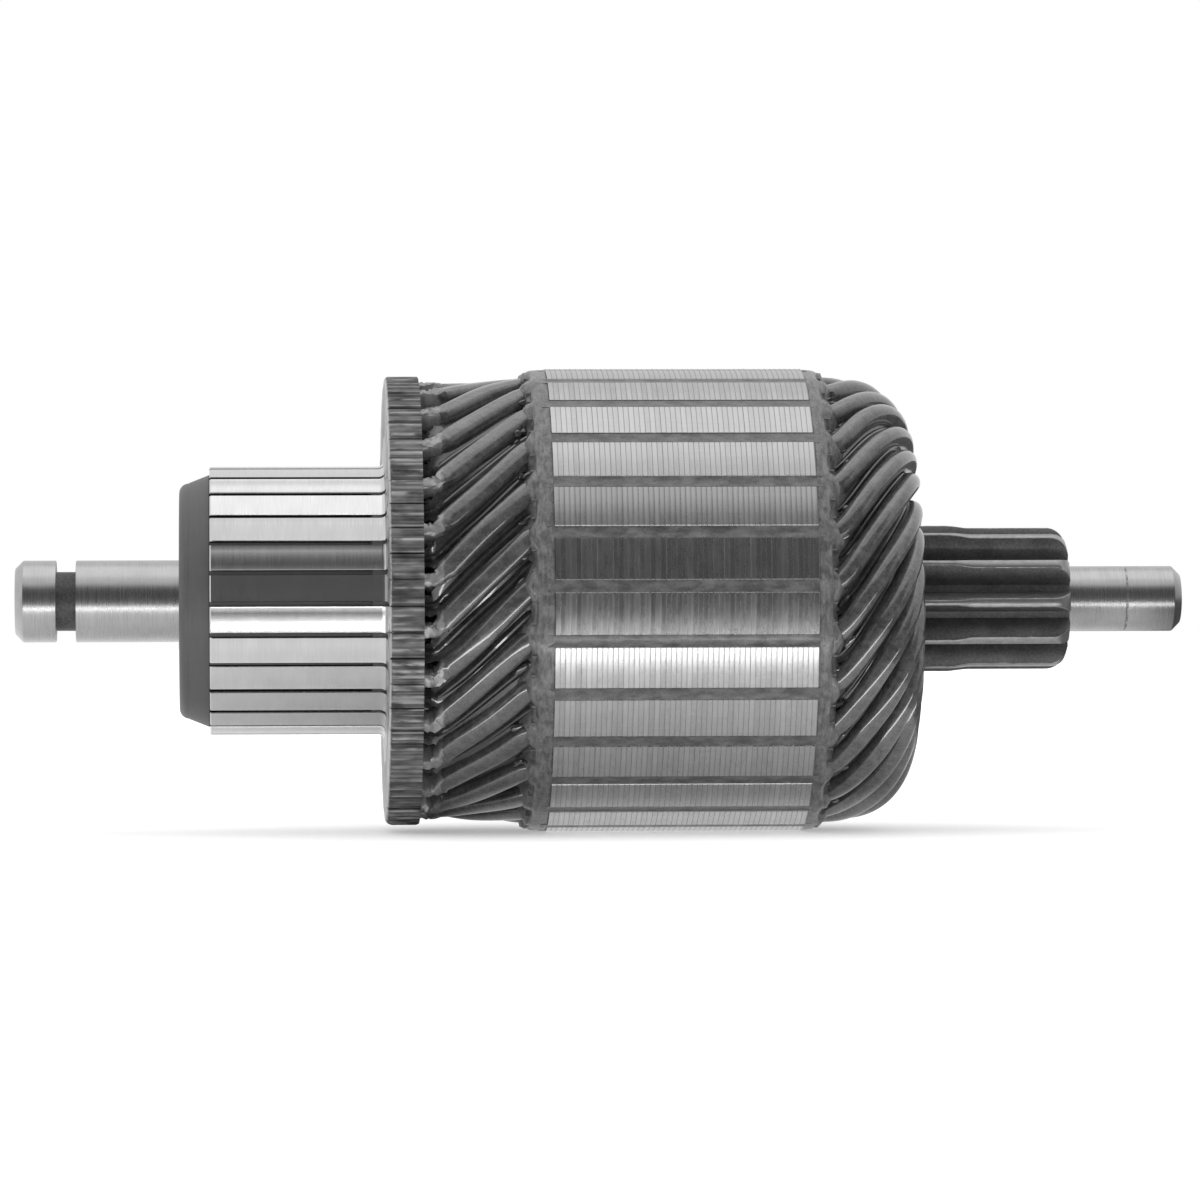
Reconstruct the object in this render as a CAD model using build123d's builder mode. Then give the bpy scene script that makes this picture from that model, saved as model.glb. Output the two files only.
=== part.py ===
from build123d import *
from math import acos, atan2, cos, degrees, radians, sin, tan
import os

os.makedirs("parts", exist_ok=True)

# Armature of a small four-pole starter motor, in millimetres.
# The shaft lies along X, with the pinion at its +X end. The origin is the centre of its commutator-end face.
# Angles turn about X from +Y towards +Z. The armature lies on its core, with a slot facing straight down.

# Shaft, turned in one piece with the pinion
journal_radius = 5.0
journal_length = 20.0
journal_chamfer = 1.0
clip_groove_start = 5.0
clip_groove_width = 2.4
clip_groove_depth = 1.4
hub_seat_radius = 6.0
core_seat_radius = 6.75
spigot_radius = 4.0
spigot_length = 14.2
spigot_chamfer = 1.0

# Pinion cut on the shaft
tooth_count = 11
pinion_gap = 6.1
full_tooth_length = 11.6
ground_tooth_length = 13.2
full_tip_radius = 9.05
ground_tip_radius = 8.75
pinion_root_radius = 5.75
pinion_pitch_radius = 7.4
tooth_thickness = 2.25
pressure_angle = 20.0
tooth_lead_in = 2.1
tooth_phase = 19.5
foot_above_base = 0.01
tooth_sink = 0.5

# Commutator
bar_count = 27
collar_length = 3.7
collar_end_radius = 14.2
collar_round = 1.2
collar_radius = 15.4
track_length = 21.35
track_radius = 16.4
bar_depth = 4.2
bar_foot_bevel = 1.6
bar_gap = 0.65
undercut_depth = 0.8
undercut_stop = 1.9
riser_width = 4.1
riser_step = 0.85
riser_round = 1.3
riser_window_cover = 0.6
riser_slit = 0.3
hub_flange = 1.5
hub_flange_radius = 17.0

# Core
slot_count = bar_count
front_overhang = 13.1
front_disc = 2.4
stack_length = 31.4
rear_disc = 1.9
core_radius = 28.35
disc_inset = 0.12
slot_mouth = 1.4
lip_depth = 0.6
lip_slant = 0.35
tooth_width = 2.15
wedge_drop = 0.2

# Winding: a round wire pressed to two sections, wide in the top layer and narrow in the bottom layer
top_height = 2.75
bottom_height = 3.4
neck_width = 1.7
top_nose_share = 0.73
bottom_nose_share = 0.88
layer_gap = 0.4
riser_drop = 0.68
liner_wall = 0.2
liner_reach = 0.3
conductor_clearance = 0.05
side_clearance = 0.16
span_slot_count = 7
span_bar_count = 13
lead_bar_count = 2
bar_lag = 1.9
rear_overhang = 12.0
nose_radius = 16.2
top_exit = 1.2
bottom_exit = 1.0
top_straight = 2.1
bottom_straight = 0.1
top_neck = 1.5
bottom_neck = 0.7
neck_taper = 0.9
end_setback = 0.3
top_share = 0.57
dome_power = 2.6
dome_steps = 5
top_skew_steps = 2
bottom_skew_steps = 3

# Length that a cutting shape runs on past the face it cuts
spare = 1.0

# Where the rows of bars and slots stand, as angles
slot_pitch = 360 / slot_count
bar_pitch = 360 / bar_count
slot_phase = slot_pitch / 4
bar_phase = slot_phase - bar_lag

# Stations along the shaft, each one following from the one before
hub_start = journal_length
track_start = hub_start + collar_length
riser_start = track_start + track_length
riser_end = riser_start + riser_width
core_start = riser_end + front_overhang
stack_start = core_start + front_disc
stack_end = stack_start + stack_length
core_end = stack_end + rear_disc
hub_end = riser_end + hub_flange
winding_end = core_end + rear_overhang
pinion_start = core_end + pinion_gap
ground_start = pinion_start + full_tooth_length
pinion_end = ground_start + ground_tooth_length
shaft_end = pinion_end + spigot_length

# Radii of the slot and of the conductors in it, from the slot mouth inwards
slot_top = core_radius - lip_depth - lip_slant
top_layer = slot_top - conductor_clearance - top_height / 2
bottom_layer = top_layer - top_height / 2 - layer_gap - bottom_height / 2
slot_floor = bottom_layer - bottom_height / 2 - conductor_clearance - liner_wall
slot_half_top = slot_top * sin(radians(slot_pitch / 2)) - tooth_width / 2
slot_half_floor = slot_floor * sin(radians(slot_pitch / 2)) - tooth_width / 2
slot_slope = (slot_half_top - slot_half_floor) / (slot_top - slot_floor)
side_room = liner_wall + side_clearance
top_width = 2 * (slot_half_floor + slot_slope * (top_layer - top_height / 2 - slot_floor) - side_room)
bottom_width = 2 * (slot_half_floor + slot_slope * (conductor_clearance + liner_wall) - side_room)
bar_floor = track_radius - bar_depth
rib_root = bar_floor - bar_gap
riser_radius = core_radius - riser_step
window_top = riser_radius - riser_window_cover
window_floor = bottom_layer - riser_drop - bottom_height / 2 - conductor_clearance
window_width = neck_width + 2 * conductor_clearance


# What several pieces use: a point around the shaft, and a solid of flat facets
def place(x, radius, angle):
    return Vector(x, radius * cos(radians(angle)), radius * sin(radians(angle)))


def joined(sections):
    """A closed solid through like-numbered sections, with each side between neighbours as two flat facets."""
    faces = [Face(Wire.make_polygon(sections[0])), Face(Wire.make_polygon(sections[-1]))]
    for near, far in zip(sections, sections[1:]):
        for corner in range(len(near)):
            following = (corner + 1) % len(near)
            faces.append(Face(Wire.make_polygon([near[corner], near[following], far[following]])))
            faces.append(Face(Wire.make_polygon([near[corner], far[following], far[corner]])))
    return Solid(Shell(faces))


# The shaft: a turned bar, with the pinion's teeth standing on their root cylinder
def flank_angle(radius):
    """Half the angle that a tooth spans at this radius, from the involute of its base circle."""
    base_radius = pinion_pitch_radius * cos(radians(pressure_angle))
    pitch_half = tooth_thickness / (2 * pinion_pitch_radius)
    opening = acos(base_radius / radius)
    return pitch_half + tan(radians(pressure_angle)) - radians(pressure_angle) - tan(opening) + opening


def flank_point(radius, side):
    turn = side * flank_angle(radius)
    return radius * cos(turn), radius * sin(turn)


def pinion_section(tip_radius):
    """The tooth outline, drawn once and set around the shaft."""
    foot = pinion_pitch_radius * cos(radians(pressure_angle)) + foot_above_base
    middle = (foot + tip_radius) / 2
    sunk = pinion_root_radius - tooth_sink
    with BuildSketch() as section:
        Circle(pinion_root_radius)
        with PolarLocations(0, tooth_count, start_angle=tooth_phase):
            with BuildSketch(mode=Mode.PRIVATE) as tooth:
                with BuildLine():
                    root_half = flank_angle(foot)
                    low = (sunk * cos(root_half), sunk * sin(root_half))
                    Line(low, flank_point(foot, 1))
                    Polyline(flank_point(foot, 1), flank_point(middle, 1), flank_point(tip_radius, 1))
                    Line(flank_point(tip_radius, 1), flank_point(tip_radius, -1))
                    Polyline(flank_point(tip_radius, -1), flank_point(middle, -1), flank_point(foot, -1))
                    Line(flank_point(foot, -1), (low[0], -low[1]))
                    Line((low[0], -low[1]), low)
                make_face()
            add(tooth.sketch)
    return section.sketch


with BuildPart() as shaft:
    with BuildSketch(Plane.XY):
        with BuildLine():
            Polyline(
                (0, 0),
                (0, journal_radius - journal_chamfer),
                (journal_chamfer, journal_radius),
                (clip_groove_start, journal_radius),
                (clip_groove_start, journal_radius - clip_groove_depth),
                (clip_groove_start + clip_groove_width, journal_radius - clip_groove_depth),
                (clip_groove_start + clip_groove_width, journal_radius),
                (hub_start, journal_radius),
                (hub_start, hub_seat_radius),
                (hub_end, hub_seat_radius),
                (hub_end, core_seat_radius),
                (pinion_start, core_seat_radius),
                (pinion_start, pinion_root_radius),
                (pinion_end, pinion_root_radius),
                (pinion_end, spigot_radius),
                (shaft_end - spigot_chamfer, spigot_radius),
                (shaft_end, spigot_radius - spigot_chamfer),
                (shaft_end, 0),
                close=True,
            )
        make_face()
    revolve(axis=Axis.X)
    with BuildSketch(Plane.YZ.offset(pinion_start)):
        add(pinion_section(full_tip_radius))
    extrude(amount=full_tooth_length)
    with BuildSketch(Plane.YZ.offset(ground_start)):
        add(pinion_section(ground_tip_radius))
    extrude(amount=ground_tooth_length)
    with BuildSketch(Plane.XY):
        with BuildLine():
            Polyline(
                (pinion_end - tooth_lead_in, ground_tip_radius),
                (pinion_end - tooth_lead_in, full_tip_radius),
                (pinion_end, full_tip_radius),
                (pinion_end, ground_tip_radius - tooth_lead_in),
                close=True,
            )
        make_face()
    revolve(axis=Axis.X, mode=Mode.SUBTRACT)
shaft.part.label = "armature_shaft"
export_step(shaft.part, "parts/armature_shaft.step")


# The core: one slot outline for the stack and its end discs, with the liners and closing strips cut to it
def slot_body(wall):
    """The slot inside its lips as a face about local X, drawn in by a wall on its floor and sides."""
    floor = slot_floor + wall
    with BuildSketch() as outline:
        with BuildLine():
            Polyline(
                (floor, slot_half_floor - wall),
                (slot_top, slot_half_top - wall),
                (slot_top, wall - slot_half_top),
                (floor, wall - slot_half_floor),
                close=True,
            )
        make_face()
    return outline.sketch


def slot_throat():
    """The mouth of the slot between its slanted lips."""
    with BuildSketch() as outline:
        with BuildLine():
            Polyline(
                (slot_top, slot_half_top),
                (core_radius - lip_depth, slot_mouth / 2),
                (core_radius + spare, slot_mouth / 2),
                (core_radius + spare, -slot_mouth / 2),
                (core_radius - lip_depth, -slot_mouth / 2),
                (slot_top, -slot_half_top),
                close=True,
            )
        make_face()
    return outline.sketch


def ring_of(outer_radius, *cuts):
    """A round sheet with its bore, and with each cut repeated at every slot."""
    with BuildSketch() as sheet:
        Circle(outer_radius)
        Circle(core_seat_radius, mode=Mode.SUBTRACT)
        with PolarLocations(0, slot_count, start_angle=slot_phase):
            for cut in cuts:
                add(cut, mode=Mode.SUBTRACT)
    return sheet.sketch


stack_sheet = ring_of(core_radius, slot_body(0), slot_throat())
disc_sheet = ring_of(core_radius - disc_inset, slot_body(0))
liner_floor = slot_body(0)
liner_inside = slot_body(liner_wall)

with BuildPart() as stack:
    with BuildSketch(Plane.YZ.offset(stack_start)):
        add(stack_sheet)
    extrude(amount=stack_length)
stack.part.label = "lamination_stack"
export_step(stack.part, "parts/lamination_stack.step")

with BuildPart() as discs:
    with BuildSketch(Plane.YZ.offset(core_start)):
        add(disc_sheet)
    extrude(amount=front_disc)
    with BuildSketch(Plane.YZ.offset(stack_end)):
        add(disc_sheet)
    extrude(amount=rear_disc)
discs.part.label = "end_discs"
export_step(discs.part, "parts/end_discs.step")

with BuildPart() as liners:
    with BuildSketch(Plane.YZ.offset(core_start - liner_reach)):
        with PolarLocations(0, slot_count, start_angle=slot_phase):
            add(liner_floor)
            add(liner_inside, mode=Mode.SUBTRACT)
    extrude(amount=core_end - core_start + 2 * liner_reach)
liners.part.label = "slot_liners"
export_step(liners.part, "parts/slot_liners.step")

with BuildPart() as wedges:
    with BuildSketch(Plane.YZ.offset(stack_start)):
        with PolarLocations(0, slot_count, start_angle=slot_phase):
            with Locations(((slot_top + core_radius - wedge_drop) / 2, 0)):
                Rectangle(core_radius - wedge_drop - slot_top, slot_mouth)
    extrude(amount=stack_length)
wedges.part.label = "slot_wedges"
export_step(wedges.part, "parts/slot_wedges.step")

# The commutator: a moulded hub with a collar, a flat seat for each bar and a rib in each gap
def seat_corners(x, level):
    """The hub's section under the bars: a corner in each gap, and a flat at this level under each bar."""
    corner_radius = level / cos(radians(bar_pitch / 2))
    return [place(x, corner_radius, bar_phase + (gap + 0.5) * bar_pitch) for gap in range(bar_count)]


bar_seat = joined(
    [
        seat_corners(track_start, bar_floor + bar_foot_bevel),
        seat_corners(track_start + bar_foot_bevel, bar_floor),
        seat_corners(riser_end - bar_foot_bevel, bar_floor),
        seat_corners(riser_end, bar_floor + bar_foot_bevel),
    ]
)

with BuildPart() as hub:
    with BuildSketch(Plane.XY):
        with BuildLine():
            Polyline(
                (hub_start + collar_round, collar_end_radius),
                (track_start, collar_radius),
                (track_start, 0),
                (hub_start, 0),
                (hub_start, collar_end_radius - collar_round),
                (hub_start + collar_round, collar_end_radius),
            )
        make_face()
    revolve(axis=Axis.X)
    add(bar_seat)
    with BuildSketch(Plane.YZ.offset(riser_end)):
        Circle(hub_flange_radius)
    extrude(amount=hub_flange)
    undercut_end = riser_start - undercut_stop
    for start, top in ((track_start, track_radius - undercut_depth), (undercut_end, track_radius)):
        with BuildSketch(Plane.YZ.offset(start)):
            with PolarLocations(0, bar_count, start_angle=bar_phase + bar_pitch / 2):
                with Locations(((rib_root + top) / 2, 0)):
                    Rectangle(top - rib_root, bar_gap)
        extrude(amount=riser_end - start)
    with BuildSketch(Plane.YZ.offset(hub_start)):
        Circle(hub_seat_radius)
    extrude(amount=hub_end - hub_start, mode=Mode.SUBTRACT)
hub.part.label = "commutator_hub"
export_step(hub.part, "parts/commutator_hub.step")

# One bar with its riser: flat foot and sides, turned outside, and a window for the two wire ends
with BuildPart() as bar:
    with BuildSketch(Plane.XY):
        with BuildLine():
            Polyline(
                (track_start, track_radius + spare),
                (track_start, bar_floor + bar_foot_bevel),
                (track_start + bar_foot_bevel, bar_floor),
                (riser_end - bar_foot_bevel, bar_floor),
                (riser_end, bar_floor + bar_foot_bevel),
                (riser_end, riser_radius + spare),
                (riser_start + riser_round + spare, riser_radius + spare),
                (riser_start, riser_radius - riser_round),
                (riser_start, track_radius + spare),
                close=True,
            )
        make_face()
    extrude(amount=riser_radius, both=True)
    with BuildSketch(Plane.XY):
        with BuildLine():
            Polyline(
                (track_start, 0),
                (track_start, track_radius),
                (riser_start, track_radius),
                (riser_start, riser_radius),
                (riser_end, riser_radius),
                (riser_end, 0),
                close=True,
            )
        make_face()
    revolve(axis=Axis.X, mode=Mode.INTERSECT)
    with BuildSketch(Plane.YZ.offset(track_start)):
        with BuildLine():
            apex = bar_gap / 2 / sin(radians(bar_pitch / 2))
            spread = (2 * riser_radius - apex) * tan(radians(bar_pitch / 2))
            Polyline((apex, 0), (2 * riser_radius, spread), (2 * riser_radius, -spread), close=True)
        make_face()
    extrude(amount=riser_end - track_start, mode=Mode.INTERSECT)
    with BuildSketch(Plane.YZ.offset(riser_start)):
        with Locations(((window_floor + window_top) / 2, 0)):
            Rectangle(window_top - window_floor, window_width)
        with Locations((window_top, 0)):
            Rectangle(2 * (riser_window_cover + spare), riser_slit)
    extrude(amount=riser_width, mode=Mode.SUBTRACT)

for number in range(bar_count):
    with BuildPart() as placed_bar:
        add(bar.part.rotate(Axis.X, bar_phase + number * bar_pitch))
    placed_bar.part.label = f"commutator_bar_{number + 1:02d}"
    export_step(placed_bar.part, f"parts/{placed_bar.part.label}.step")


# The winding: each coil is one wire that follows a route of stations given by
# distance along the shaft, radius, angle, lean, width and height.
# Lean is how far the outer side of the wire tips from facing straight out towards facing along the shaft.
def facing(angle, lean):
    return Vector(sin(radians(lean)), 0, 0) + place(0, cos(radians(lean)), angle)


def mitred_sections(route, first_way, last_way):
    """Rectangles across the wire, each in the plane that halves the bend at its station."""
    points = [place(x, radius, angle) for x, radius, angle, lean, width, height in route]
    ways = [first_way] + [(b - a).normalized() for a, b in zip(points, points[1:])] + [last_way]
    sections = []
    for point, before, after, (x, radius, angle, lean, width, height) in zip(points, ways, ways[1:], route):
        along = (before + after).normalized()
        side = facing(angle, lean).cross(along).normalized()
        rise = along.cross(side)
        bend = after - before
        if bend.length > 0:
            bend = bend.normalized()
        stretch = 1 / along.dot(before) - 1
        corners = []
        for across, up in ((1, 1), (-1, 1), (-1, -1), (1, -1)):
            reach = side * (across * width / 2) + rise * (up * height / 2)
            corners.append(point + reach + bend * (stretch * reach.dot(bend)))
        sections.append(corners)
    return sections


def matched(section, previous):
    """The same rectangle, its corners counted from the one nearest to the previous first corner."""
    turns = [section[turn:] + section[:turn] for turn in range(4)]
    return min(turns, key=lambda corners: sum((a - b).length for a, b in zip(corners, previous)))


def dome_stations(leave_x, start_x, nose_x, radius, angle, turn, widths, height, steps):
    """Stations from the core over the rounded end to the nose, turning evenly with the length gone by."""
    line = [(leave_x, radius, 0)]
    for step in range(steps + 1):
        swing = radians(90 * step / steps)
        out = sin(swing) ** (2 / dome_power)
        down = max(cos(swing), 0) ** (2 / dome_power)
        tip = out ** (dome_power - 1) / (nose_x - start_x)
        rise = down ** (dome_power - 1) / (radius - nose_radius)
        lean = degrees(atan2(tip, rise))
        line.append((start_x + (nose_x - start_x) * out, nose_radius + (radius - nose_radius) * down, lean))
    lengths = [0]
    for (x0, r0, lean0), (x1, r1, lean1) in zip(line, line[1:]):
        lengths.append(lengths[-1] + ((x1 - x0) ** 2 + (r1 - r0) ** 2) ** 0.5)
    stations = []
    for (x, r, lean), length in zip(line, lengths):
        share = length / lengths[-1]
        width = widths[0] + (widths[1] - widths[0]) * share
        stations.append((x, r, angle + turn * share, lean, width, height))
    return stations


def skew_stations(first, last, first_radius, last_radius, first_angle, last_angle, width, height, steps):
    """Stations of a straight-sided skewed run between core and commutator."""
    stations = []
    for step in range(steps + 1):
        share = step / steps
        x = first + (last - first) * share
        radius = first_radius + (last_radius - first_radius) * share
        stations.append((x, radius, first_angle + (last_angle - first_angle) * share, 0, width, height))
    return stations


def riser_stations(neck, radius, angle, height):
    """The pressed end of a wire, in its riser and as far as the neck."""
    return [
        (riser_start + end_setback, radius, angle, 0, neck_width, height),
        (riser_end + neck, radius, angle, 0, neck_width, height),
    ]


top_lead = lead_bar_count * bar_pitch + bar_phase - slot_phase
bottom_angle = -span_slot_count * slot_pitch
bottom_lead = top_lead - span_bar_count * bar_pitch
top_turn = top_share * bottom_angle
top_nose_x = winding_end - top_height / 2 - conductor_clearance
bottom_nose_x = top_nose_x - top_height / 2 - layer_gap - bottom_height / 2

top_route = riser_stations(top_neck, top_layer - riser_drop, top_lead, top_height)
top_route += skew_stations(
    riser_end + top_neck + neck_taper,
    core_start - top_exit,
    top_layer - riser_drop,
    top_layer,
    top_lead,
    0,
    top_width,
    top_height,
    top_skew_steps,
)
top_route += dome_stations(
    core_end + top_exit,
    core_end + top_exit + top_straight,
    top_nose_x,
    top_layer,
    0,
    top_turn,
    (top_width, top_width * top_nose_share),
    top_height,
    dome_steps,
)
bottom_route = dome_stations(
    core_end + bottom_exit,
    core_end + bottom_exit + bottom_straight,
    bottom_nose_x,
    bottom_layer,
    bottom_angle,
    top_turn - bottom_angle,
    (bottom_width, bottom_width * bottom_nose_share),
    bottom_height,
    dome_steps,
)[::-1]
bottom_route += skew_stations(
    core_start - bottom_exit,
    riser_end + bottom_neck + neck_taper,
    bottom_layer,
    bottom_layer - riser_drop,
    bottom_angle,
    bottom_lead,
    bottom_width,
    bottom_height,
    bottom_skew_steps,
)
bottom_route += riser_stations(bottom_neck, bottom_layer - riser_drop, bottom_lead, bottom_height)[::-1]

along_shaft = Vector(1, 0, 0)
sections = mitred_sections(top_route, along_shaft, -along_shaft)
for section in mitred_sections(bottom_route, -along_shaft, -along_shaft):
    sections.append(matched(section, sections[-1]))
hairpin = joined(sections)

for number in range(slot_count):
    with BuildPart() as coil:
        add(hairpin.rotate(Axis.X, slot_phase + number * slot_pitch))
    coil.part.label = f"hairpin_coil_{number + 1:02d}"
    export_step(coil.part, f"parts/{coil.part.label}.step")
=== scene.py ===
# %% [markdown]
# # Dressing a motor armature
# The part is the wound rotor of a small starter motor: a steel shaft with a pinion cut on it, a stack of
# slotted steel sheets, a winding of pressed copper wire, and a commutator of copper bars in a moulding.
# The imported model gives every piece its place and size. This lesson replaces most of its plain solids with
# finer ones, piece by piece, and gives each a finish. The photograph has no colour, so finishes are greys.

# %% Load the frame and keep its size
import math
import random

import bpy
from mathutils import Euler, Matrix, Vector


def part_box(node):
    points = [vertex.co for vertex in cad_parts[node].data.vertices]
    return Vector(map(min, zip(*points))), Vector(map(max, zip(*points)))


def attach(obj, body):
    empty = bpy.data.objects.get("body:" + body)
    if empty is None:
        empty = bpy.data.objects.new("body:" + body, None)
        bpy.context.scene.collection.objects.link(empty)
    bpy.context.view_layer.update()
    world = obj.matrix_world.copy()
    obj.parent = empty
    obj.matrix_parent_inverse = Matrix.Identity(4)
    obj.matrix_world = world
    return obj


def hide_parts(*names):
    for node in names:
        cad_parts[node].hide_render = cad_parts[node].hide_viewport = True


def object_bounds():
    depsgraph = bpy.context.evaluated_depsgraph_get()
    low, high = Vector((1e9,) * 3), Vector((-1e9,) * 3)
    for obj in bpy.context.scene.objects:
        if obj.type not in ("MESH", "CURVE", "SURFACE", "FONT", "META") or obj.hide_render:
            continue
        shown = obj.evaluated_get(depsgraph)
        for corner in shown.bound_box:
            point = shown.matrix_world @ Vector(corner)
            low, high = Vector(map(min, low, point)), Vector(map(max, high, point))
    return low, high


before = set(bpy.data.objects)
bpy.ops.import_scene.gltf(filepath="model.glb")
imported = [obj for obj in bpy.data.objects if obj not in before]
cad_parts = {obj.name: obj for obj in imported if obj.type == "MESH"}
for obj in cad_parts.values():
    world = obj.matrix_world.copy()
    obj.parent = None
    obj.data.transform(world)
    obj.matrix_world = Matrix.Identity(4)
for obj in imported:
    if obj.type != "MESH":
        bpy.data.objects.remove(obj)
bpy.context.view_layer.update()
MM = 0.001

# %% [markdown]
# ## The sizes that the pieces share
# Lengths are in millimetres along the shaft from its commutator end, and radii from its axis. Where a node's
# own box gives a station, it is read from there, so that the pieces stay where the solid model has them.
# The rest are the real sizes of the slots, bars and wires.

# %% Stations, radii and angles
def span(node):
    low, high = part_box(node)
    return low[0] / MM, high[0] / MM


shaft_end = span("armature_shaft")[1]
hub_start, hub_end = span("commutator_hub")
track_start, riser_end = span("commutator_bar_01")
core_start, core_end = span("end_discs")
stack_start, stack_end = span("lamination_stack")
rear_overhang = 12.0
pinion_gap = 6.1
winding_end = core_end + rear_overhang
pinion_start = core_end + pinion_gap
core_radius = 28.35
riser_radius = 27.5
track_radius = 16.4
riser_width = 4.1
riser_start = riser_end - riser_width
slot_count = 27
pitch = 360 / slot_count
slot_phase = pitch / 4
bar_lag = 1.9
bar_phase = slot_phase - bar_lag
print("core", round(core_start, 2), "to", round(core_end, 2), "mm, shaft", round(shaft_end, 2), "mm")

# %% [markdown]
# ## Making meshes from rings
# Nearly every piece here is a run of outlines that are joined one to the next: rings around the shaft, or
# sections along a wire. One small class collects such runs, so that a piece may hold several of them. Points
# are given by place along the shaft, radius and angle, because that is how a turner measures them.

# %% A class that skins rings into one piece
def around(x, radius, angle):
    """A point by its place along the shaft, its radius and its angle."""
    turn = math.radians(angle)
    return Vector((x, radius * math.cos(turn), radius * math.sin(turn))) * MM


class Skin:
    """The points and faces of one piece, until it becomes an object."""

    def __init__(self):
        self.points = []
        self.faces = []

    def run(self, rings, capped=True):
        """Join each ring to the next, then cap both ends, or else join the last ring to the first."""
        first = len(self.points)
        count = len(rings[0])
        total = count * len(rings)
        for ring in rings:
            self.points.extend(ring)
        joins = len(rings) - 1 if capped else len(rings)
        for row in range(joins):
            for column in range(count):
                a = row * count + column
                b = row * count + (column + 1) % count
                corners = (a, b, (b + count) % total, (a + count) % total)
                self.faces.append(tuple(first + corner for corner in corners))
        if capped:
            self.faces.append(tuple(range(first + count - 1, first - 1, -1)))
            last = first + (len(rings) - 1) * count
            self.faces.append(tuple(range(last, last + count)))

    def piece(self, name, finish, slot, stands_for=(), sharp=35):
        mesh = bpy.data.meshes.new(name)
        mesh.from_pydata(self.points, [], self.faces)
        mesh.validate()
        for face in mesh.polygons:
            face.use_smooth = True
        mesh.set_sharp_from_angle(angle=math.radians(sharp))
        mesh.materials.append(finish)
        piece = bpy.data.objects.new(name, mesh)
        bpy.context.collection.objects.link(piece)
        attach(piece, "root")
        if stands_for:
            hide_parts(*stands_for)
        return piece


def turned(profile, steps=144):
    """Rings of a turned form, from a list of stations and radii."""
    return [[around(x, radius, 360 * step / steps) for step in range(steps)] for x, radius in profile]


def eased(profile, reach):
    """The profile with each inner corner cut back to a small round of three points."""
    smooth = [profile[0]]
    for before, corner, after in zip(profile, profile[1:], profile[2:]):
        ends = []
        for other in (before, after):
            length = math.dist(corner, other)
            share = min(reach / length, 0.45) if length > 0 else 0
            ends.append([c + (o - c) * share for c, o in zip(corner, other)])
        middle = [(a + 2 * c + b) / 4 for a, c, b in zip(ends[0], corner, ends[1])]
        smooth += [tuple(ends[0]), tuple(middle), tuple(ends[1])]
    return smooth + [profile[-1]]


# %% [markdown]
# ## Writing a finish as sums
# A finish is worked out from where a point lies on the piece: how far along the shaft, how far from its axis,
# and a little noise. Wrapping a socket in a class with plus, minus and times lets that be written as sums,
# and every other node comes from one method, with its settings set before its inputs.

# %% A socket that can be used in sums, and the material around it
class Value:
    """A number that changes over a surface. A sum on it adds Math nodes."""

    def __init__(self, nodes, socket):
        self.nodes = nodes
        self.socket = socket

    def math(self, operation, *others):
        inputs = dict(enumerate((self,) + others))
        return self.nodes.add("ShaderNodeMath", {"operation": operation}, inputs)

    def __add__(self, other):
        return self.math("ADD", other)

    __radd__ = __add__

    def __sub__(self, other):
        return self.math("SUBTRACT", other)

    def __rsub__(self, other):
        return (self * -1) + other

    def __mul__(self, other):
        return self.math("MULTIPLY", other)

    __rmul__ = __mul__

    def __pow__(self, other):
        return self.math("POWER", other)

    def rise(self, low, high):
        """0 below low, 1 above high and smooth between."""
        inputs = {"Value": self, "From Min": low, "From Max": high}
        return self.nodes.add("ShaderNodeMapRange", {"interpolation_type": "SMOOTHSTEP"}, inputs)

    def between(self, low, high, soft):
        """1 between low and high, with soft edges."""
        return self.rise(low - soft, low + soft) * (1 - self.rise(high - soft, high + soft))


class Nodes:
    """A node tree with one method that adds a node."""

    def __init__(self, tree):
        self.tree = tree
        tree.nodes.clear()

    def add(self, kind, settings, inputs, output=0):
        node = self.tree.nodes.new(kind)
        for name, setting in settings.items():
            setattr(node, name, setting)
        for key, value in inputs.items():
            self.feed(node.inputs[key], value)
        return Value(self, node.outputs[output])

    def feed(self, socket, value):
        if isinstance(value, Value):
            self.tree.links.new(value.socket, socket)
        else:
            socket.default_value = value

    def grey(self, dark, light, share):
        """A grey between two levels."""
        ends = {0: share, 6: (dark, dark, dark, 1), 7: (light, light, light, 1)}
        return self.add("ShaderNodeMix", {"data_type": "RGBA"}, ends, 2)

    def surface(self, shader, kind="ShaderNodeOutputMaterial"):
        output = self.tree.nodes.new(kind)
        self.tree.links.new(shader.socket, output.inputs["Surface"])


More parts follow.
